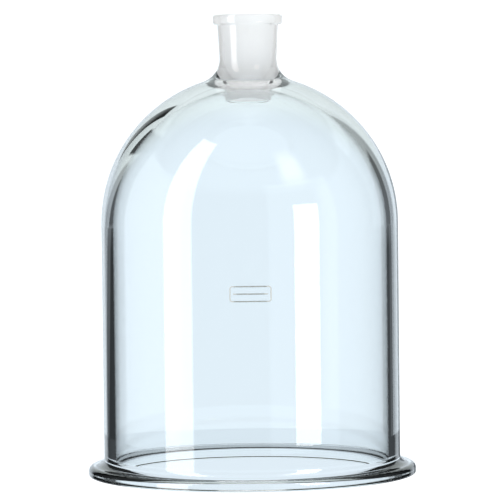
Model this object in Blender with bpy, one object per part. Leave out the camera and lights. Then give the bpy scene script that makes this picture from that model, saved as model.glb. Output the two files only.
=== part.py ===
"""A glass bell jar: a blown bell on a thick ground flange, with a conical ground socket in its dome.

The nodes are the pieces of glass that a glassblower fuses into the finished jar, and the enamel
that is fired on afterwards. Every fused seam is left open by SEAM_GAP, because two solids that
touch would overlap a little.

Units are metres and +Z is up. The origin is the centre of the flange's flat underside, and the
enamel mark faces -Y. Each turned piece is a closed outline of (radius, height) points, which
runs down its outer side and back up its inner side, spun once about Z.
"""

import math

import bmesh
import bpy

SEAM_GAP = 0.0003
TURN_STEPS = 64
SHARP_ANGLE = math.radians(40)

# Bell: a straight wall under a hemispherical dome. The inner hemisphere's centre lies lower than
# the outer one's by DOME_THICKENING, so the glass grows thicker towards the top of the dome.
BELL_RADIUS = 0.095
BELL_WALL = 0.0073
DOME_CENTRE_Z = 0.161
DOME_THICKENING = 0.0018
DOME_ARC_STEPS = 13
INNER_RADIUS = BELL_RADIUS - BELL_WALL
INNER_CENTRE_Z = DOME_CENTRE_Z - DOME_THICKENING

# Base flange: a flat ring with a short stub that the bell is fused to. Its outer edge is rounded
# widely above and only a little at the ground underside.
FLANGE_RADIUS = 0.105
FLANGE_THICKNESS = 0.0065
FLANGE_EDGE_FOOT = 0.0010
FLANGE_STUB_TOP_Z = 0.012
FLANGE_MOUTH_BEVEL = 0.0008

# Ground socket, ISO 383 size 34/35: 34.5 mm at its large end, 35 mm long, taper 1 in 10.
JAR_HEIGHT = 0.294
GROUND_RADIUS = 0.01725
GROUND_LENGTH = 0.035
GROUND_SLOPE = 0.05
RIM_RADIUS = 0.0223
RIM_HEIGHT = 0.0064
RIM_ROUNDING = 0.0016
RIM_UNDERCUT = 0.0006
RIM_INNER_BEVEL = 0.0004
NECK_RADIUS_UNDER_RIM = 0.01945
NECK_RADIUS_AT_FOOT = 0.0183
NECK_FOOT_Z = 0.263
INNER_TUBE_END_Z = 0.2398
INNER_TUBE_WALL = 0.0020
INNER_TUBE_END_BEVEL = 0.0005
# Under the ground zone the bore steps in by this much over this length.
GROUND_STEP = 0.0008
GROUND_STEP_LENGTH = 0.004
# The tube's outer radius where the neck is fused round it, at the seal and at its free end.
INNER_TUBE_RADII = ((0.0169, 0.263), (0.0163, 0.255), (0.0155, 0.2455), (0.0147, 0.2408))

# Ring seal: the thick collar of clear glass between the dome's opening and the socket.
COLLAR_FILLET = 0.015
COLLAR_FILLET_STEPS = 7
COLLAR_UNDERSIDE_RADII = (0.0220, 0.0175)

# Enamel mark: a plain ruled writing field, a frame with one bar across its middle.
MARK_WIDTH = 0.026
MARK_HEIGHT = 0.010
MARK_LINE = 0.0008
MARK_CENTRE_Z = 0.121
MARK_THICKNESS = 0.0003
MARK_WINDOW_COLUMNS = 10

CLEAR_GLASS = (0.89, 0.94, 0.97, 0.35)
GROUND_GLASS = (0.86, 0.88, 0.89, 0.75)
WHITE_ENAMEL = (0.88, 0.88, 0.86, 1.0)


def clear_scene():
    for old in list(bpy.data.objects):
        bpy.data.objects.remove(old, do_unlink=True)


def principled(name, colour, roughness, transmission):
    material = bpy.data.materials.new(name)
    material.use_nodes = True
    shader = material.node_tree.nodes["Principled BSDF"]
    shader.inputs["Base Color"].default_value = colour[:3] + (1.0,)
    shader.inputs["Roughness"].default_value = roughness
    shader.inputs["Metallic"].default_value = 0.0
    shader.inputs["IOR"].default_value = 1.473
    shader.inputs["Transmission Weight"].default_value = transmission
    material.diffuse_color = colour
    return material


def arc(centre, radius, start, end, steps):
    """Points round a circle, from one angle to another, both included, in degrees."""
    points = []
    for step in range(steps + 1):
        angle = math.radians(start + (end - start) * step / steps)
        points.append((centre[0] + radius * math.cos(angle), centre[1] + radius * math.sin(angle)))
    return points


def add_object(name, bm, material):
    bmesh.ops.recalc_face_normals(bm, faces=bm.faces)
    mesh = bpy.data.meshes.new(name)
    bm.to_mesh(mesh)
    bm.free()
    mesh.materials.append(material)
    mesh.shade_smooth()
    mesh.set_sharp_from_angle(angle=SHARP_ANGLE)
    obj = bpy.data.objects.new(name, mesh)
    bpy.context.scene.collection.objects.link(obj)
    return obj


def turned(name, outline, material):
    """A closed outline spun once about Z."""
    bm = bmesh.new()
    ring = [bm.verts.new((radius, 0.0, height)) for radius, height in outline]
    edges = [bm.edges.new((ring[i - 1], ring[i])) for i in range(len(ring))]
    bmesh.ops.spin(
        bm,
        geom=ring + edges,
        cent=(0, 0, 0),
        axis=(0, 0, 1),
        angle=math.tau,
        steps=TURN_STEPS,
        use_merge=True,
    )
    return add_object(name, bm, material)


def fillet_centre():
    """Centre of the collar's fillet, which touches the neck's side and the dome's outside."""
    radius = NECK_RADIUS_AT_FOOT + COLLAR_FILLET
    height = math.sqrt((BELL_RADIUS + COLLAR_FILLET) ** 2 - radius**2)
    return radius, DOME_CENTRE_Z + height


def dome_opening_angle():
    """Elevation, in degrees from the dome's centre, at which the dome ends and the collar begins."""
    radius, height = fillet_centre()
    return math.degrees(math.atan2(height - DOME_CENTRE_Z, radius))


def fillet_radius_at(height):
    """Outer radius of the collar's fillet at a height."""
    radius, centre_z = fillet_centre()
    return radius - math.sqrt(COLLAR_FILLET**2 - (centre_z - height) ** 2)


def inner_dome_height(radius):
    """Height of the dome's inner surface at a radius."""
    return INNER_CENTRE_Z + math.sqrt(INNER_RADIUS**2 - radius**2)


def bell_body(material):
    foot_z = FLANGE_STUB_TOP_Z + SEAM_GAP
    open_angle = dome_opening_angle() - math.degrees(SEAM_GAP / BELL_RADIUS)
    outline = arc((0.0, DOME_CENTRE_Z), BELL_RADIUS, open_angle, 0, DOME_ARC_STEPS)
    outline += [(BELL_RADIUS, foot_z), (INNER_RADIUS, foot_z)]
    outline += arc((0.0, INNER_CENTRE_Z), INNER_RADIUS, 0, open_angle, DOME_ARC_STEPS)
    return turned("bell_body", outline, material)


def base_flange(material):
    fillet = FLANGE_STUB_TOP_Z - FLANGE_THICKNESS
    edge = FLANGE_THICKNESS / 2
    outline = [(INNER_RADIUS, FLANGE_MOUTH_BEVEL), (INNER_RADIUS, FLANGE_STUB_TOP_Z)]
    outline += arc((BELL_RADIUS + fillet, FLANGE_STUB_TOP_Z), fillet, 180, 270, 5)
    outline += arc((FLANGE_RADIUS - edge, edge), edge, 90, 0, 5)
    foot = FLANGE_EDGE_FOOT
    outline += arc((FLANGE_RADIUS - foot, foot), foot, 0, -90, 3)
    outline += [(INNER_RADIUS + FLANGE_MOUTH_BEVEL, 0.0)]
    return turned("base_flange", outline, material)


def joint_socket(material):
    rim_foot_z = JAR_HEIGHT - RIM_HEIGHT
    round_radius = RIM_RADIUS - RIM_ROUNDING
    outline = arc((round_radius, JAR_HEIGHT - RIM_ROUNDING), RIM_ROUNDING, 90, 0, 4)
    outline += arc((round_radius, rim_foot_z + RIM_ROUNDING), RIM_ROUNDING, 0, -80, 4)
    outline += [(NECK_RADIUS_UNDER_RIM, rim_foot_z - RIM_UNDERCUT)]
    outline += [(NECK_RADIUS_AT_FOOT, fillet_centre()[1])]
    outline += [(fillet_radius_at(NECK_FOOT_Z), NECK_FOOT_Z)]
    outline += INNER_TUBE_RADII
    end_radius = INNER_TUBE_RADII[-1][0]
    end_bore = end_radius - INNER_TUBE_WALL
    outline += [(end_radius - INNER_TUBE_END_BEVEL, INNER_TUBE_END_Z)]
    outline += [(end_bore + INNER_TUBE_END_BEVEL, INNER_TUBE_END_Z)]
    for radius, height in reversed(INNER_TUBE_RADII[2:]):
        outline.append((radius - INNER_TUBE_WALL, height))
    ground_foot = GROUND_RADIUS - GROUND_SLOPE * GROUND_LENGTH
    ground_foot_z = JAR_HEIGHT - GROUND_LENGTH
    outline += [(ground_foot - GROUND_STEP, ground_foot_z - GROUND_STEP_LENGTH)]
    outline += [(ground_foot, ground_foot_z)]
    outline += [(GROUND_RADIUS, JAR_HEIGHT - RIM_INNER_BEVEL)]
    outline += [(GROUND_RADIUS + RIM_INNER_BEVEL, JAR_HEIGHT)]
    return turned("joint_socket", outline, material)


def ring_seal(material):
    centre = fillet_centre()
    top_z = NECK_FOOT_Z - SEAM_GAP
    start = 180 + math.degrees(math.asin((centre[1] - top_z) / COLLAR_FILLET))
    opening = dome_opening_angle()
    outline = arc(centre, COLLAR_FILLET, start, 180 + opening, COLLAR_FILLET_STEPS)
    underside = (INNER_RADIUS * math.cos(math.radians(opening)),) + COLLAR_UNDERSIDE_RADII
    outline += [(radius, inner_dome_height(radius)) for radius in underside]
    tube = [(radius + SEAM_GAP, height) for radius, height in INNER_TUBE_RADII]
    outline += [tube[2], tube[1], (tube[0][0], top_z)]
    return turned("ring_seal", outline, material)


def enamel_mark(material):
    """The ruled field, laid out flat as a grid of cells, bent round the bell and thickened."""
    window = (MARK_WIDTH - 2 * MARK_LINE) / MARK_WINDOW_COLUMNS
    columns = [-MARK_WIDTH / 2]
    columns += [-MARK_WIDTH / 2 + MARK_LINE + window * i for i in range(MARK_WINDOW_COLUMNS + 1)]
    columns += [MARK_WIDTH / 2]
    half_line = MARK_LINE / 2
    half_height = MARK_HEIGHT / 2
    rows = [-half_height, MARK_LINE - half_height, -half_line]
    rows += [half_line, half_height - MARK_LINE, half_height]
    window_rows = (1, 3)
    radius = BELL_RADIUS + SEAM_GAP
    bm = bmesh.new()

    def corner(column, row):
        angle = columns[column] / radius
        height = MARK_CENTRE_Z + rows[row]
        return bm.verts.new((radius * math.sin(angle), -radius * math.cos(angle), height))

    grid = [[corner(column, row) for row in range(len(rows))] for column in range(len(columns))]
    for column in range(len(columns) - 1):
        for row in range(len(rows) - 1):
            if row in window_rows and 0 < column < len(columns) - 2:
                continue
            near, far = grid[column], grid[column + 1]
            bm.faces.new((near[row], far[row], far[row + 1], near[row + 1]))
    bmesh.ops.delete(bm, geom=[v for v in bm.verts if not v.link_faces], context="VERTS")
    mark = add_object("enamel_mark", bm, material)
    thicken = mark.modifiers.new("Thickness", "SOLIDIFY")
    thicken.thickness = MARK_THICKNESS
    thicken.offset = 1.0
    return mark


def main():
    clear_scene()
    clear = principled("clear_glass", CLEAR_GLASS, 0.0, 1.0)
    base_flange(principled("flange_glass", CLEAR_GLASS, 0.02, 1.0))
    bell_body(clear)
    ring_seal(principled("seal_glass", CLEAR_GLASS, 0.02, 1.0))
    joint_socket(principled("ground_glass", GROUND_GLASS, 0.55, 0.6))
    enamel_mark(principled("white_enamel", WHITE_ENAMEL, 0.5, 0.0))


main()
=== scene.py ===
"""Looks of the glass bell jar: one seamless fused vessel in named pieces, and its studio.

Every glass piece is turned from a closed outline about Z. Where two pieces are fused, their
outlines end on one shared seam, whose faces let light straight through, as the inside of one
piece of glass does. Lengths are metres, and angles in the outlines are degrees.
"""

import math

import bmesh
import bpy
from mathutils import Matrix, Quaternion, Vector


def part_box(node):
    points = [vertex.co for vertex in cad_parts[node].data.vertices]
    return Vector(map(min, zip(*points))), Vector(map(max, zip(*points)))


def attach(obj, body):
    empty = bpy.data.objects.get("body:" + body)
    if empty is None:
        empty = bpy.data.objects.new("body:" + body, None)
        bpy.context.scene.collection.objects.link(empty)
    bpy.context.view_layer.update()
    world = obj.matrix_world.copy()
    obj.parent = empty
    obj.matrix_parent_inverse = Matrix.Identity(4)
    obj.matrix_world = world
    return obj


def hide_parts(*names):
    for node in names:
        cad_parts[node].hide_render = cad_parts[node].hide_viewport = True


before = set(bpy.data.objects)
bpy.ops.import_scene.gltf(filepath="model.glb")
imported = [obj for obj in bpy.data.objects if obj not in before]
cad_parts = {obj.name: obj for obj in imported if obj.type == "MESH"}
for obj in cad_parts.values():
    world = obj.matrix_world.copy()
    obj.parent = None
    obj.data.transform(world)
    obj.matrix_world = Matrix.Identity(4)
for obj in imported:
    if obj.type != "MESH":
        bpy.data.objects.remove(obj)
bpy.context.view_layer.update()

# ---- Sizes that the frame gives -------------------------------------------------------------

FLANGE_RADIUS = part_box("base_flange")[1].x
BELL_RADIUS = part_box("bell_body")[1].x
JAR_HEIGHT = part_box("joint_socket")[1].z
RIM_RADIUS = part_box("joint_socket")[1].x
INNER_TUBE_END_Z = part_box("joint_socket")[0].z
MARK_LOW, MARK_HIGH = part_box("enamel_mark")

# ---- Sizes of the glass ---------------------------------------------------------------------

BELL_WALL = 0.0073
DOME_CENTRE_Z = 0.161
DOME_THICKENING = 0.0018
INNER_RADIUS = BELL_RADIUS - BELL_WALL
INNER_CENTRE_Z = DOME_CENTRE_Z - DOME_THICKENING
WALL_SEAM_Z = 0.012

FLANGE_THICKNESS = 0.0065
EDGE_FOOT = 0.0010
MOUTH_ROUNDING = 0.0008

GROUND_RADIUS = 0.01725
GROUND_LENGTH = 0.035
GROUND_SLOPE = 0.05
GROUND_STEP = 0.0008
GROUND_STEP_LENGTH = 0.004
RIM_HEIGHT = 0.0064
RIM_ROUNDING = 0.0016
RIM_MOUTH_ROUNDING = 0.0006
RIM_UNDERCUT = 0.0006
NECK_RADIUS_UNDER_RIM = 0.01945
NECK_RADIUS_AT_FOOT = 0.0183
NECK_FOOT_Z = 0.263
TUBE_WALL = 0.0020
# Outer radius and height of the inner tube, from the neck's foot down to the seal.
TUBE_SIDE = ((0.0169, NECK_FOOT_Z), (0.0163, 0.255), (0.0155, 0.2455))
TUBE_END_RADIUS = 0.0147
COLLAR_FILLET = 0.015
SEAL_BEAD = 0.0012

ENAMEL_PROUD = 0.00012
ENAMEL_THICKNESS = 0.0001
ENAMEL_LINE = 0.0008
ENAMEL_CORNER = 0.0018
ENAMEL_INSET = 0.0022
# The rule's inner loop is a line along its middle, and this share of its length.
ENAMEL_RULE_CORE = 0.9

# ---- Fineness of the meshes -----------------------------------------------------------------

TURN_STEPS = 256
SHARP_ANGLE = math.radians(35)
# Degrees for each segment round an arc.
FINE_STEP = 1.5
COLLAR_STEP = 2.5
FLANGE_STEP = 5
RIM_STEP = 9
EDGE_FOOT_STEP = 10
SMALL_STEP = 15
# The angle at which the bead's underside meets the step under the rim.
RIM_UNDERSIDE = -80
# Segments along a straight side.
WALL_SEGMENTS = 12
SEAL_SEGMENTS = 8
NECK_SEGMENTS = 8
GROUND_SEGMENTS = 10
MERGE_DISTANCE = 1e-7

# ---- Materials ------------------------------------------------------------------------------

# Places of the materials in a turned piece.
CLEAR, SEAM, GROUND, ETCHED = range(4)

GLASS_IOR = 1.473
GLASS_TINT = (0.975, 0.995, 1.0, 1.0)
GROUND_TINT = (0.95, 0.965, 0.98, 1.0)
GROUND_ROUGHNESS = 0.5
GROUND_TRANSMISSION = 0.35
ETCHED_TRANSMISSION = 0.25
ENAMEL_TINT = (0.45, 0.48, 0.47, 1.0)
ENAMEL_ROUGHNESS = 0.6

# Reliefs as layers of noise: size across, stretch up the axis, height.
DRAWN_RELIEF = ((0.030, 3.0, 0.000008), (0.006, 30.0, 0.0000006))
PRESSED_RELIEF = ((0.020, 1.0, 0.000002),)
WORKED_RELIEF = ((0.010, 1.0, 0.000008),)
GROUND_RELIEF = ((0.0004, 1.0, 0.00003), (0.004, 1.0, 0.00006))
ENAMEL_RELIEF = ((0.0006, 1.0, 0.00003),)


def arc(centre, radius, start, end, step):
    """Points round a circle, from one angle to another, both included, in degrees."""
    count = max(2, round(abs(end - start) / step))
    angles = [math.radians(start + (end - start) * i / count) for i in range(count + 1)]
    return [(centre[0] + radius * math.cos(a), centre[1] + radius * math.sin(a)) for a in angles]


def line(start, end, count):
    """Points along a straight line, without its ends."""
    steps = [i / count for i in range(1, count)]
    return [
        (start[0] + (end[0] - start[0]) * s, start[1] + (end[1] - start[1]) * s) for s in steps
    ]


# ---- Glass pieces ---------------------------------------------------------------------------


class Outline:
    """A closed outline of (radius, height) points, where each stretch has a material slot."""

    def __init__(self):
        self.points = []
        self.slots = []

    def run(self, points, slot=CLEAR):
        """Add points. The segment that leads to each of them gets the slot."""
        for point in points:
            self.points.append(point)
            self.slots.append(slot)


def turned(name, outline, materials):
    """The outline spun once about Z, each segment's faces with that segment's material."""
    bm = bmesh.new()
    count = len(outline.points)
    rings = []
    for step in range(TURN_STEPS):
        angle = math.tau * step / TURN_STEPS
        ring = [
            bm.verts.new((radius * math.cos(angle), radius * math.sin(angle), height))
            for radius, height in outline.points
        ]
        rings.append(ring)
    for step in range(TURN_STEPS):
        here, after = rings[step], rings[(step + 1) % TURN_STEPS]
        for i in range(count):
            last = (i - 1) % count
            face = bm.faces.new((here[last], here[i], after[i], after[last]))
            face.material_index = outline.slots[i]
            face.smooth = True
    bmesh.ops.recalc_face_normals(bm, faces=bm.faces)
    mesh = bpy.data.meshes.new(name)
    bm.to_mesh(mesh)
    bm.free()
    for material in materials:
        mesh.materials.append(material)
    mesh.set_sharp_from_angle(angle=SHARP_ANGLE)
    obj = bpy.data.objects.new(name, mesh)
    bpy.context.scene.collection.objects.link(obj)
    return obj


def fillet_centre():
    """Centre of the collar's fillet, which touches the neck's side and the dome's outside."""
    radius = NECK_RADIUS_AT_FOOT + COLLAR_FILLET
    height = math.sqrt((BELL_RADIUS + COLLAR_FILLET) ** 2 - radius**2)
    return radius, DOME_CENTRE_Z + height


def dome_opening_angle():
    """Elevation from the dome's centre, in degrees, at which the collar begins."""
    radius, height = fillet_centre()
    return math.degrees(math.atan2(height - DOME_CENTRE_Z, radius))


def neck_foot_angle():
    """Angle on the collar's fillet, in degrees, at which the socket ends and the seal begins."""
    return 180 + math.degrees(math.asin((fillet_centre()[1] - NECK_FOOT_Z) / COLLAR_FILLET))


def inner_dome_point(radius):
    """The point of the dome's inner surface at a radius."""
    return radius, INNER_CENTRE_Z + math.sqrt(INNER_RADIUS**2 - radius**2)


def opening_inner_radius():
    """Radius of the dome's opening on its inner surface."""
    return INNER_RADIUS * math.cos(math.radians(dome_opening_angle()))


def bell_piece(glass, seam):
    opening = dome_opening_angle()
    outline = Outline()
    outside_foot = (BELL_RADIUS, WALL_SEAM_Z)
    inside_foot = (INNER_RADIUS, WALL_SEAM_Z)
    outline.run(arc((0.0, DOME_CENTRE_Z), BELL_RADIUS, opening, 0, FINE_STEP))
    outline.slots[0] = SEAM
    outline.run(line((BELL_RADIUS, DOME_CENTRE_Z), outside_foot, WALL_SEGMENTS))
    outline.run([outside_foot])
    outline.run([inside_foot], SEAM)
    outline.run(line(inside_foot, (INNER_RADIUS, INNER_CENTRE_Z), WALL_SEGMENTS))
    outline.run(arc((0.0, INNER_CENTRE_Z), INNER_RADIUS, 0, opening, FINE_STEP))
    return turned("bell_glass", outline, [glass, seam])


def flange_piece(glass, seam):
    fillet = WALL_SEAM_Z - FLANGE_THICKNESS
    edge = FLANGE_THICKNESS / 2
    mouth = INNER_RADIUS + MOUTH_ROUNDING
    outline = Outline()
    foot = FLANGE_RADIUS - EDGE_FOOT
    outline.run([(BELL_RADIUS, WALL_SEAM_Z)], SEAM)
    outline.run(arc((BELL_RADIUS + fillet, WALL_SEAM_Z), fillet, 180, 270, FLANGE_STEP)[1:])
    outline.run(arc((FLANGE_RADIUS - edge, edge), edge, 90, 0, FLANGE_STEP))
    outline.run(arc((foot, EDGE_FOOT), EDGE_FOOT, 0, -90, EDGE_FOOT_STEP))
    outline.run(arc((mouth, MOUTH_ROUNDING), MOUTH_ROUNDING, 270, 180, SMALL_STEP))
    outline.run([(INNER_RADIUS, WALL_SEAM_Z)])
    return turned("flange_glass", outline, [glass, seam])


def collar_arc():
    """Outer fillet from the neck's foot down to the dome's opening."""
    end = 180 + dome_opening_angle()
    return arc(fillet_centre(), COLLAR_FILLET, neck_foot_angle(), end, COLLAR_STEP)


def seal_piece(glass, seam):
    outline = Outline()
    tube_top, tube_middle, tube_foot = TUBE_SIDE
    bead_radius = tube_foot[0] + SEAL_BEAD
    bead = (bead_radius, inner_dome_point(bead_radius)[1] - SEAL_BEAD)
    outline.run(collar_arc())
    outline.slots[0] = SEAM
    inner = opening_inner_radius()
    outline.run([inner_dome_point(inner)], SEAM)
    for step in range(1, SEAL_SEGMENTS + 1):
        radius = inner + (bead_radius - inner) * step / SEAL_SEGMENTS
        outline.run([inner_dome_point(radius)])
    outline.run(arc(bead, SEAL_BEAD, 90, 180, SMALL_STEP)[1:])
    outline.run([tube_foot, tube_middle, tube_top], SEAM)
    return turned("seal_glass", outline, [glass, seam])


def socket_piece(glass, seam, ground, etched):
    rim_foot = JAR_HEIGHT - RIM_HEIGHT
    rim_top_centre = (RIM_RADIUS - RIM_ROUNDING, JAR_HEIGHT - RIM_ROUNDING)
    rim_foot_centre = (RIM_RADIUS - RIM_ROUNDING, rim_foot + RIM_ROUNDING)
    outline = Outline()
    outline.run(arc(rim_top_centre, RIM_ROUNDING, 90, 0, RIM_STEP))
    outline.run(arc(rim_foot_centre, RIM_ROUNDING, 0, RIM_UNDERSIDE, RIM_STEP))
    neck_top = (NECK_RADIUS_UNDER_RIM, rim_foot - RIM_UNDERCUT)
    neck_foot = (NECK_RADIUS_AT_FOOT, fillet_centre()[1])
    outline.run([(NECK_RADIUS_UNDER_RIM + RIM_UNDERCUT, rim_foot), neck_top])
    outline.run(line(neck_top, neck_foot, NECK_SEGMENTS))
    outline.run([neck_foot])
    outline.run(arc(fillet_centre(), COLLAR_FILLET, 180, neck_foot_angle(), FINE_STEP)[1:])
    outline.run(TUBE_SIDE, SEAM)
    end = (TUBE_END_RADIUS - TUBE_WALL / 2, INNER_TUBE_END_Z + TUBE_WALL / 2)
    outline.run(arc(end, TUBE_WALL / 2, 0, -180, SMALL_STEP))
    ground_foot_z = JAR_HEIGHT - GROUND_LENGTH
    ground_foot = (GROUND_RADIUS - GROUND_SLOPE * GROUND_LENGTH, ground_foot_z)
    seal_radius, seal_z = TUBE_SIDE[-1]
    outline.run([(seal_radius - TUBE_WALL, seal_z)], ETCHED)
    narrowed = (ground_foot[0] - GROUND_STEP, ground_foot_z - GROUND_STEP_LENGTH)
    outline.run([narrowed, ground_foot], ETCHED)
    top_z = JAR_HEIGHT - RIM_MOUTH_ROUNDING
    ground_top = (GROUND_RADIUS, top_z)
    outline.run(line(ground_foot, ground_top, GROUND_SEGMENTS), GROUND)
    outline.run([ground_top], GROUND)
    mouth = (GROUND_RADIUS + RIM_MOUTH_ROUNDING, top_z)
    outline.run(arc(mouth, RIM_MOUTH_ROUNDING, 180, 90, SMALL_STEP)[1:], GROUND)
    return turned("socket_glass", outline, [glass, seam, ground, etched])


def principled(name):
    material = bpy.data.materials.new(name)
    material.use_nodes = True
    return material, material.node_tree.nodes["Principled BSDF"]


def relief(material, shader, layers):
    """Bumps from layers of noise, each one laid over the one before."""
    tree = material.node_tree
    place = tree.nodes.new("ShaderNodeTexCoord")
    below = None
    for across, stretch, height in layers:
        mapping = tree.nodes.new("ShaderNodeMapping")
        mapping.inputs["Scale"].default_value = (1 / across, 1 / across, 1 / (across * stretch))
        noise = tree.nodes.new("ShaderNodeTexNoise")
        noise.inputs["Scale"].default_value = 1.0
        noise.inputs["Detail"].default_value = 1.0
        bump = tree.nodes.new("ShaderNodeBump")
        bump.inputs["Distance"].default_value = height
        tree.links.new(place.outputs["Object"], mapping.inputs["Vector"])
        tree.links.new(mapping.outputs["Vector"], noise.inputs["Vector"])
        tree.links.new(noise.outputs[0], bump.inputs["Height"])
        if below is not None:
            tree.links.new(below.outputs["Normal"], bump.inputs["Normal"])
        below = bump
    tree.links.new(below.outputs["Normal"], shader.inputs["Normal"])


def clear_glass(name, layers):
    material, shader = principled(name)
    shader.inputs["Base Color"].default_value = GLASS_TINT
    shader.inputs["Roughness"].default_value = 0.0
    shader.inputs["IOR"].default_value = GLASS_IOR
    shader.inputs["Transmission Weight"].default_value = 1.0
    relief(material, shader, layers)
    return material


def ground_glass(name, transmission):
    material, shader = principled(name)
    shader.inputs["Base Color"].default_value = GROUND_TINT
    shader.inputs["Roughness"].default_value = GROUND_ROUGHNESS
    shader.inputs["IOR"].default_value = GLASS_IOR
    shader.inputs["Transmission Weight"].default_value = transmission
    relief(material, shader, GROUND_RELIEF)
    return material


def fused_seam(name):
    """The inside of fused glass has no surface, so light goes straight through a seam."""
    material = bpy.data.materials.new(name)
    material.use_nodes = True
    tree = material.node_tree
    tree.nodes.clear()
    clear = tree.nodes.new("ShaderNodeBsdfTransparent")
    output = tree.nodes.new("ShaderNodeOutputMaterial")
    tree.links.new(clear.outputs[0], output.inputs["Surface"])
    return material


def enamel(name):
    material, shader = principled(name)
    shader.inputs["Base Color"].default_value = ENAMEL_TINT
    shader.inputs["Roughness"].default_value = ENAMEL_ROUGHNESS
    relief(material, shader, ENAMEL_RELIEF)
    return material


def rounded_rectangle(half_width, half_height, radius):
    """Points round a rectangle with rounded corners, centred on the origin."""
    corners = ((1, 1, 0), (-1, 1, 90), (-1, -1, 180), (1, -1, 270))
    points = []
    for side, end, start in corners:
        centre = (side * (half_width - radius), end * (half_height - radius))
        points += arc(centre, radius, start, start + 90, SMALL_STEP)
    return points


def on_bell(bm, across, up, proud):
    """A vertex on the bell's front: so far across along its curve, so far up, so far proud."""
    angle = across / BELL_RADIUS
    radius = BELL_RADIUS + proud
    return bm.verts.new((radius * math.sin(angle), -radius * math.cos(angle), up))


def enamel_band(bm, outer, inner):
    """A closed band of enamel between two loops of (across, up) points."""
    loops = [
        [on_bell(bm, across, up, proud) for across, up in loop]
        for loop, proud in (
            (outer, ENAMEL_PROUD),
            (inner, ENAMEL_PROUD),
            (inner, ENAMEL_PROUD - ENAMEL_THICKNESS),
            (outer, ENAMEL_PROUD - ENAMEL_THICKNESS),
        )
    ]
    count = len(outer)
    for i in range(count):
        after = (i + 1) % count
        for loop, following in zip(loops, loops[1:] + loops[:1]):
            bm.faces.new((loop[i], loop[after], following[after], following[i]))


def enamel_piece(material):
    """A plain field with rounded corners and one rule, of the size of the print."""
    half_width = (MARK_HIGH.x - MARK_LOW.x) / 2
    half_height = (MARK_HIGH.z - MARK_LOW.z) / 2
    middle = (MARK_HIGH.z + MARK_LOW.z) / 2
    bm = bmesh.new()
    outer = rounded_rectangle(half_width, half_height, ENAMEL_CORNER)
    inner = rounded_rectangle(
        half_width - ENAMEL_LINE, half_height - ENAMEL_LINE, ENAMEL_CORNER - ENAMEL_LINE
    )
    rule = rounded_rectangle(half_width - ENAMEL_INSET, ENAMEL_LINE / 2, ENAMEL_LINE / 2)
    core = [(across * ENAMEL_RULE_CORE, 0.0) for across, _ in rule]
    for around, within in ((outer, inner), (rule, core)):
        raised = [[(across, middle + up) for across, up in loop] for loop in (around, within)]
        enamel_band(bm, *raised)
    bmesh.ops.remove_doubles(bm, verts=bm.verts, dist=MERGE_DISTANCE)
    bmesh.ops.recalc_face_normals(bm, faces=bm.faces)
    mesh = bpy.data.meshes.new("enamel_field")
    bm.to_mesh(mesh)
    bm.free()
    mesh.materials.append(material)
    obj = bpy.data.objects.new("enamel_field", mesh)
    bpy.context.scene.collection.objects.link(obj)
    return obj


def build_jar():
    seam = fused_seam("fused_seam")
    drawn = clear_glass("clear_glass", DRAWN_RELIEF)
    pressed = clear_glass("flange_glass", PRESSED_RELIEF)
    worked = clear_glass("seal_glass", WORKED_RELIEF)
    ground = ground_glass("ground_glass", GROUND_TRANSMISSION)
    etched = ground_glass("etched_glass", ETCHED_TRANSMISSION)
    for piece, node, slot in (
        (bell_piece(drawn, seam), "bell_body", "clear_glass"),
        (flange_piece(pressed, seam), "base_flange", "flange_glass"),
        (seal_piece(worked, seam), "ring_seal", "seal_glass"),
        (socket_piece(worked, seam, ground, etched), "joint_socket", "ground_glass"),
        (enamel_piece(enamel("white_enamel")), "enamel_mark", "white_enamel"),
    ):
        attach(piece, "root")
        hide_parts(node)


# ---- Studio ---------------------------------------------------------------------------------

CAMERA_DISTANCE = 2.12
CAMERA_HEIGHT = 0.247
CAMERA_AIM_Z = 0.1434
CAMERA_LENS = 238.5
CAMERA_SENSOR = 36.0
CAMERA_ROLL = math.radians(0.65)
BOUNCES = 48
TRANSPARENT_BOUNCES = 64

# What the camera sees of the table and the backdrop, beside the jar.
WHITE = (1.2, 1.2, 1.2)
# The backdrop in the glass turns from the first colour to the second between two elevations.
BACKDROP = (0.92, 1.02, 1.10)
BACKDROP_HIGH = (0.88, 0.97, 0.98)
BACKDROP_TURNS = (5, 14)
SOFTBOX_WHITE = (1.0, 0.98, 0.96)
UNLIT = 0.02
# Strength of the light, from all round, that reaches the ground glass.
FROSTED_LIGHT = 1.6

# Azimuth is from +Y towards +X, and elevation is up from level, both in degrees. A softness is
# half the width of an edge.
# The backdrop's width in light that goes through the wall.
BACK_HALF_WIDTH = 62
BACK_SOFTNESS = 2
# Its width in light that has been turned back inside the bell.
AROUND_HALF_WIDTH = 115
AROUND_SOFTNESS = 8
# Its sides in light that the bell's outside mirrors.
MIRRORED = (-28, 32)
MIRRORED_SOFTNESS = 4
# A dimmer ceiling over the backdrop.
CEILING_FROM = 40
CEILING_FROM_SOFTNESS = 2
CEILING_LEVEL = 0.8
CEILING_HALF_WIDTH = 45
CEILING_SOFTNESS = 20
# Bright panels for the other sides that the jar is looked at from: azimuth, elevations.
SIDE_PANELS = (
    (-90, -8, 35),
    (-45, -70, -9),
    (135, -50, 35),
)
SIDE_HALF_WIDTH = 30
SIDE_SOFTNESS = 2
SIDE_END_SOFTNESS = 1

TABLE = (0.82, 0.92, 1.00)
TABLE_RADIUS = 0.285
TABLE_SIDES = 128
TABLE_DROP = 0.0003
# In light that the wall has turned back once, the table is lit where it is seen steeply, and
# nearly unlit at a grazing angle. "Facing" is 0 straight down on it and 1 along it, so this
# depends on the view's height. This is an open fault.
# This is painted shade: the table's glow, which is no lamp, is dimmed by the angle it is seen
# at, so the wall's foot looks darker.
STEEP_FACING = 0.82
GRAZING_FACING = 0.88
GRAZING_PAINTED_SHADE = 0.08
# Its level in light that has been turned back inside the bell.
TURNED_LEVEL = 0.6

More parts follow.
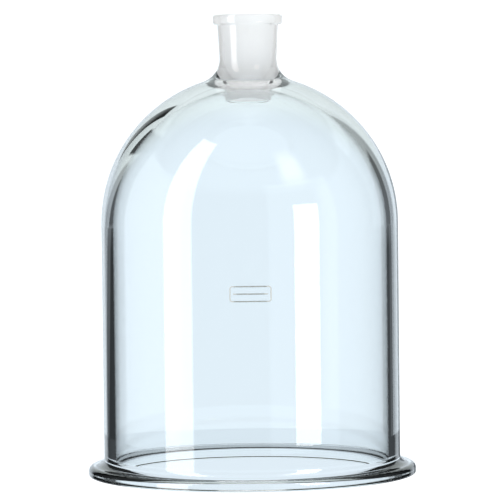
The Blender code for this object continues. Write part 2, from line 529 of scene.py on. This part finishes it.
# Grey and black flags in front of the backdrop. Lean moves a flag's sides by so many degrees of
# azimuth for each degree up, and tilt its top and bottom for each degree of azimuth.
# Flags in the light that goes straight through the bell.
STRAIGHT_FLAGS = (
    dict(azimuths=(-75, -19.5), elevations=(-20, 60), soft=(0.6, 1), level=0.85),
    dict(azimuths=(17.5, 75), elevations=(-20, 60), soft=(0.6, 1), level=0.75),
)
# Flags in the light that the wall has turned back once, inside its own glass.
WALL_FLAGS = (
    dict(azimuths=(-75, -31.5), elevations=(-1.5, 60), soft=(1.5, 2), level=0.22, lean=-0.55),
    dict(azimuths=(-75, -21), elevations=(-1.5, 17.5), soft=(1.5, 2), level=0.55, lean=-0.85),
    dict(azimuths=(-75, -29.4), elevations=(-1.5, 8.7), soft=(0.7, 0.8), level=0.08, tilt=-0.6),
    dict(azimuths=(-75, -15), elevations=(-20, -1.5), soft=(2, 1.5), level=0.6),
    dict(azimuths=(-75, -34.2), elevations=(-20, -1.5), soft=(1.5, 1.5), level=0.28, lean=-3.05),
    dict(azimuths=(-75, -42.4), elevations=(-20, -1.5), soft=(2, 1.5), level=0.25, lean=-3.0),
    dict(azimuths=(20.0, 75), elevations=(-2, 31), soft=(0.7, 1), level=0.55, lean=0.22),
    dict(azimuths=(31.0, 45), elevations=(-2, 18), soft=(1.5, 1.5), level=0.3),
    dict(azimuths=(15.5, 75), elevations=(-20, -2), soft=(2, 1), level=0.52),
    dict(azimuths=(29, 75), elevations=(-20, -2), soft=(1, 1), level=0.3),
    dict(azimuths=(34.5, 75), elevations=(-20, -2), soft=(1, 1), level=0.45),
    dict(azimuths=(-14.0, -8.0), elevations=(7.7, 28), soft=(0.3, 0.6), level=0.0, lean=-0.37),
)
# Flags in the light that the bell's outside mirrors.
OUTSIDE_FLAGS = (
    dict(azimuths=(9, 20), elevations=(-20, 5), soft=(0.8, 1), level=0.3),
)

# Softboxes, seen only in the glass's outer surface: azimuths, elevations, softness, strength.
SOFTBOXES = (
    ((-134.5, -110), (-40, 61), (1, 1), 6.0),
    ((130, 150), (31, 52), (6, 7), 4.0),
)
# A low softbox near the jar on the right.
NEAR_BOX = dict(place=(0.2075, -0.2635, 0.1195), width=0.1056, height=0.239, strength=7.0)


class Nodes:
    """A short way to write shader arithmetic."""

    def __init__(self, tree):
        self.tree = tree

    def add(self, kind, **settings):
        node = self.tree.nodes.new(kind)
        for key, value in settings.items():
            setattr(node, key, value)
        return node

    def feed(self, socket, value):
        if isinstance(value, bpy.types.NodeSocket):
            self.tree.links.new(value, socket)
        else:
            socket.default_value = value

    def math(self, operation, *values):
        node = self.add("ShaderNodeMath", operation=operation)
        for socket, value in zip(node.inputs, values):
            self.feed(socket, value)
        return node.outputs[0]

    def step(self, value, low, high):
        """0 at low and 1 at high, smooth between, whichever of the two is the greater."""
        node = self.add("ShaderNodeMapRange", interpolation_type="SMOOTHSTEP")
        self.feed(node.inputs["Value"], value)
        node.inputs["From Min"].default_value = low
        node.inputs["From Max"].default_value = high
        return node.outputs[0]

    def band(self, value, low, high, soft):
        """1 between low and high, and 0 outside, with edges as wide as twice the softness."""
        rise = self.step(value, low - soft, low + soft)
        fall = self.step(value, high + soft, high - soft)
        return self.math("MULTIPLY", rise, fall)

    def mix(self, factor, first, second):
        node = self.add("ShaderNodeMix", data_type="RGBA")
        self.feed(node.inputs["Factor"], factor)
        self.feed(node.inputs[6], first)
        self.feed(node.inputs[7], second)
        return node.outputs[2]


def rgba(colour):
    return (*colour, 1.0)


class Path:
    """Kinds of light path, each 1 or 0, by what the light met between the camera and here.

    Straight light was not mirrored. The other kinds were mirrored once: by the outside of the
    glass, in the wall's own glass, or inside the bell, with three crossings or more behind them.
    """

    def __init__(self, n):
        path = n.add("ShaderNodeLightPath")
        mirrored = n.math("GREATER_THAN", path.outputs["Glossy Depth"], 0.5)
        once = n.math("LESS_THAN", path.outputs["Glossy Depth"], 1.5)
        bounced = n.math("MULTIPLY", mirrored, once)
        entered = n.math("GREATER_THAN", path.outputs["Transmission Depth"], 0.5)
        crossed = n.math("GREATER_THAN", path.outputs["Transmission Depth"], 2.5)
        self.camera = path.outputs["Is Camera Ray"]
        self.frosted = n.math("GREATER_THAN", path.outputs["Diffuse Depth"], 0.5)
        self.straight = n.math("SUBTRACT", 1.0, mirrored)
        self.outside = n.math("MULTIPLY", bounced, n.math("SUBTRACT", 1.0, entered))
        self.in_wall = n.math("MULTIPLY", bounced, n.math("SUBTRACT", entered, crossed))
        self.inside = n.math("MULTIPLY", bounced, crossed)


def flagged(n, way, level, azimuths, elevations, soft, lean=0.0, tilt=0.0):
    """What a flag leaves of the light in each direction, the way being (azimuth, elevation)."""
    azimuth, elevation = way
    leaned = n.math("MULTIPLY_ADD", elevation, -lean, azimuth)
    tilted = n.math("MULTIPLY_ADD", azimuth, -tilt, elevation)
    across = n.band(leaned, *azimuths, soft[0])
    up = n.band(tilted, *elevations, soft[1])
    return n.math("MULTIPLY_ADD", n.math("MULTIPLY", across, up), level - 1.0, 1.0)


def lit_behind(n, way, light, flags):
    """The light that one kind of path brings from behind a set of flags."""
    for flag in flags:
        light = n.math("MULTIPLY", light, flagged(n, way, **flag))
    return light


def back_wall(n, way, path):
    """Light of the backdrop behind its flags, for each kind of path."""
    azimuth, elevation = way
    straight = lit_behind(n, way, path.straight, STRAIGHT_FLAGS)
    in_wall = lit_behind(n, way, path.in_wall, WALL_FLAGS)
    outside = lit_behind(n, way, path.outside, OUTSIDE_FLAGS)
    width = n.band(azimuth, -BACK_HALF_WIDTH, BACK_HALF_WIDTH, BACK_SOFTNESS)
    light = n.math("MULTIPLY", n.math("ADD", straight, in_wall), width)
    around = n.band(azimuth, -AROUND_HALF_WIDTH, AROUND_HALF_WIDTH, AROUND_SOFTNESS)
    light = n.math("MULTIPLY_ADD", around, path.inside, light)
    middle = n.band(azimuth, *MIRRORED, MIRRORED_SOFTNESS)
    return n.math("MULTIPLY_ADD", middle, outside, light)


def under_ceiling(n, way, light):
    """The backdrop's light below the ceiling, and the ceiling's own above."""
    azimuth, elevation = way
    softness = CEILING_FROM_SOFTNESS
    high = n.step(elevation, CEILING_FROM - softness, CEILING_FROM + softness)
    light = n.math("MULTIPLY", light, n.math("SUBTRACT", 1.0, high))
    ceiling = n.band(azimuth, -CEILING_HALF_WIDTH, CEILING_HALF_WIDTH, CEILING_SOFTNESS)
    ceiling = n.math("MULTIPLY", ceiling, n.math("MULTIPLY", high, CEILING_LEVEL))
    return n.math("MAXIMUM", light, ceiling)


def with_side_panels(n, way, path, light):
    """Adds the side panels, which light that is mirrored outside or inside does not see."""
    azimuth, elevation = way
    through_wall = n.math("ADD", path.straight, path.in_wall)
    for centre, low, top in SIDE_PANELS:
        away = n.math("WRAP", n.math("SUBTRACT", azimuth, centre), 180.0, -180.0)
        panel = n.math("MULTIPLY", n.band(elevation, low, top, SIDE_END_SOFTNESS), through_wall)
        across = n.band(away, -SIDE_HALF_WIDTH, SIDE_HALF_WIDTH, SIDE_SOFTNESS)
        light = n.math("MAXIMUM", light, n.math("MULTIPLY", across, panel))
    return light


def softboxes(n, way, path):
    """Light of the softboxes, which only the glass's outside mirrors."""
    azimuth, elevation = way
    light = 0.0
    for azimuths, elevations, soft, strength in SOFTBOXES:
        lit = n.band(azimuth, *azimuths, soft[0])
        lit = n.math("MULTIPLY", lit, n.band(elevation, *elevations, soft[1]))
        light = n.math("MULTIPLY_ADD", lit, strength, light)
    return n.math("MULTIPLY", light, path.outside)


def build_world():
    world = bpy.data.worlds.new("studio")
    bpy.context.scene.world = world
    world.use_nodes = True
    tree = world.node_tree
    tree.nodes.clear()
    n = Nodes(tree)
    place = n.add("ShaderNodeTexCoord")
    axes = n.add("ShaderNodeSeparateXYZ")
    tree.links.new(place.outputs["Generated"], axes.inputs[0])
    azimuth = n.math("DEGREES", n.math("ARCTAN2", axes.outputs["X"], axes.outputs["Y"]))
    elevation = n.math("DEGREES", n.math("ARCSINE", axes.outputs["Z"]))
    path = Path(n)

    way = (azimuth, elevation)
    level = under_ceiling(n, way, back_wall(n, way, path))
    level = with_side_panels(n, way, path, level)
    level = n.math("MAXIMUM", level, UNLIT)
    level = n.math("MAXIMUM", level, n.math("MULTIPLY", path.frosted, FROSTED_LIGHT))
    boxes = softboxes(n, way, path)

    white = n.math("MAXIMUM", path.frosted, n.math("MINIMUM", boxes, 1.0))
    backdrop = n.mix(n.step(elevation, *BACKDROP_TURNS), rgba(BACKDROP), rgba(BACKDROP_HIGH))
    colour = n.mix(white, backdrop, rgba(SOFTBOX_WHITE))
    strength = n.math("MAXIMUM", boxes, level)
    background = n.add("ShaderNodeBackground")
    n.feed(background.inputs["Color"], n.mix(path.camera, colour, rgba(WHITE)))
    n.feed(background.inputs["Strength"], n.math("MAXIMUM", strength, path.camera))
    output = n.add("ShaderNodeOutputWorld")
    tree.links.new(background.outputs[0], output.inputs["Surface"])


def table_material():
    """A glow that depends on the kind of path, and that the glass's outside doesn't mirror."""
    material = bpy.data.materials.new("table")
    material.use_nodes = True
    tree = material.node_tree
    tree.nodes.clear()
    n = Nodes(tree)
    path = Path(n)
    # Painted shade: in light that the wall has turned back once, the glow is full where the
    # table is seen steeply and nearly dark at a grazing angle.
    facing = n.add("ShaderNodeLayerWeight")
    steep = n.step(facing.outputs["Facing"], GRAZING_FACING, STEEP_FACING)
    steep = n.math("MAXIMUM", steep, GRAZING_PAINTED_SHADE)
    level = n.math("MULTIPLY_ADD", path.inside, TURNED_LEVEL, path.straight)
    level = n.math("MULTIPLY_ADD", steep, path.in_wall, level)
    level = n.math("MAXIMUM", n.math("MAXIMUM", level, path.frosted), UNLIT)
    glow = n.add("ShaderNodeEmission")
    n.feed(glow.inputs["Color"], n.mix(path.camera, rgba(TABLE), rgba(WHITE)))
    n.feed(glow.inputs["Strength"], level)
    clear = n.add("ShaderNodeBsdfTransparent")
    choice = n.add("ShaderNodeMixShader")
    n.feed(choice.inputs[0], path.outside)
    n.feed(choice.inputs[1], glow.outputs[0])
    n.feed(choice.inputs[2], clear.outputs[0])
    output = n.add("ShaderNodeOutputMaterial")
    tree.links.new(choice.outputs[0], output.inputs["Surface"])
    return material


def build_table():
    mesh = bpy.data.meshes.new("table")
    bm = bmesh.new()
    bmesh.ops.create_circle(bm, cap_ends=True, segments=TABLE_SIDES, radius=TABLE_RADIUS)
    bm.to_mesh(mesh)
    bm.free()
    mesh.materials.append(table_material())
    table = bpy.data.objects.new("table", mesh)
    table.location.z = -TABLE_DROP
    bpy.context.scene.collection.objects.link(table)


def build_near_box(place, width, height, strength):
    """An area light of a given radiance that only the glass's outer surface mirrors."""
    data = bpy.data.lights.new("near_box", "AREA")
    data.shape = "RECTANGLE"
    data.size = width
    data.size_y = height
    data.energy = strength * math.pi * width * height
    data.color = SOFTBOX_WHITE
    box = bpy.data.objects.new("near_box", data)
    box.location = place
    towards_axis = Vector((-place[0], -place[1], 0.0))
    box.rotation_euler = towards_axis.to_track_quat("-Z", "Y").to_euler()
    box.visible_camera = False
    box.visible_diffuse = False
    box.visible_transmission = False
    bpy.context.scene.collection.objects.link(box)


def build_camera():
    data = bpy.data.cameras.new("camera")
    data.lens = CAMERA_LENS
    data.sensor_width = CAMERA_SENSOR
    camera = bpy.data.objects.new("camera", data)
    camera.location = (0.0, -CAMERA_DISTANCE, CAMERA_HEIGHT)
    look = Vector((0.0, 0.0, CAMERA_AIM_Z)) - camera.location
    level = look.to_track_quat("-Z", "Y")
    camera.rotation_mode = "QUATERNION"
    camera.rotation_quaternion = level @ Quaternion((0, 0, 1), -CAMERA_ROLL)
    bpy.context.scene.collection.objects.link(camera)
    bpy.context.scene.camera = camera


build_jar()
build_world()
build_table()
build_near_box(**NEAR_BOX)
build_camera()
scene = bpy.context.scene
scene.view_settings.view_transform = "Standard"
scene.cycles.max_bounces = BOUNCES
scene.cycles.glossy_bounces = BOUNCES
scene.cycles.transmission_bounces = BOUNCES
scene.cycles.transparent_max_bounces = TRANSPARENT_BOUNCES
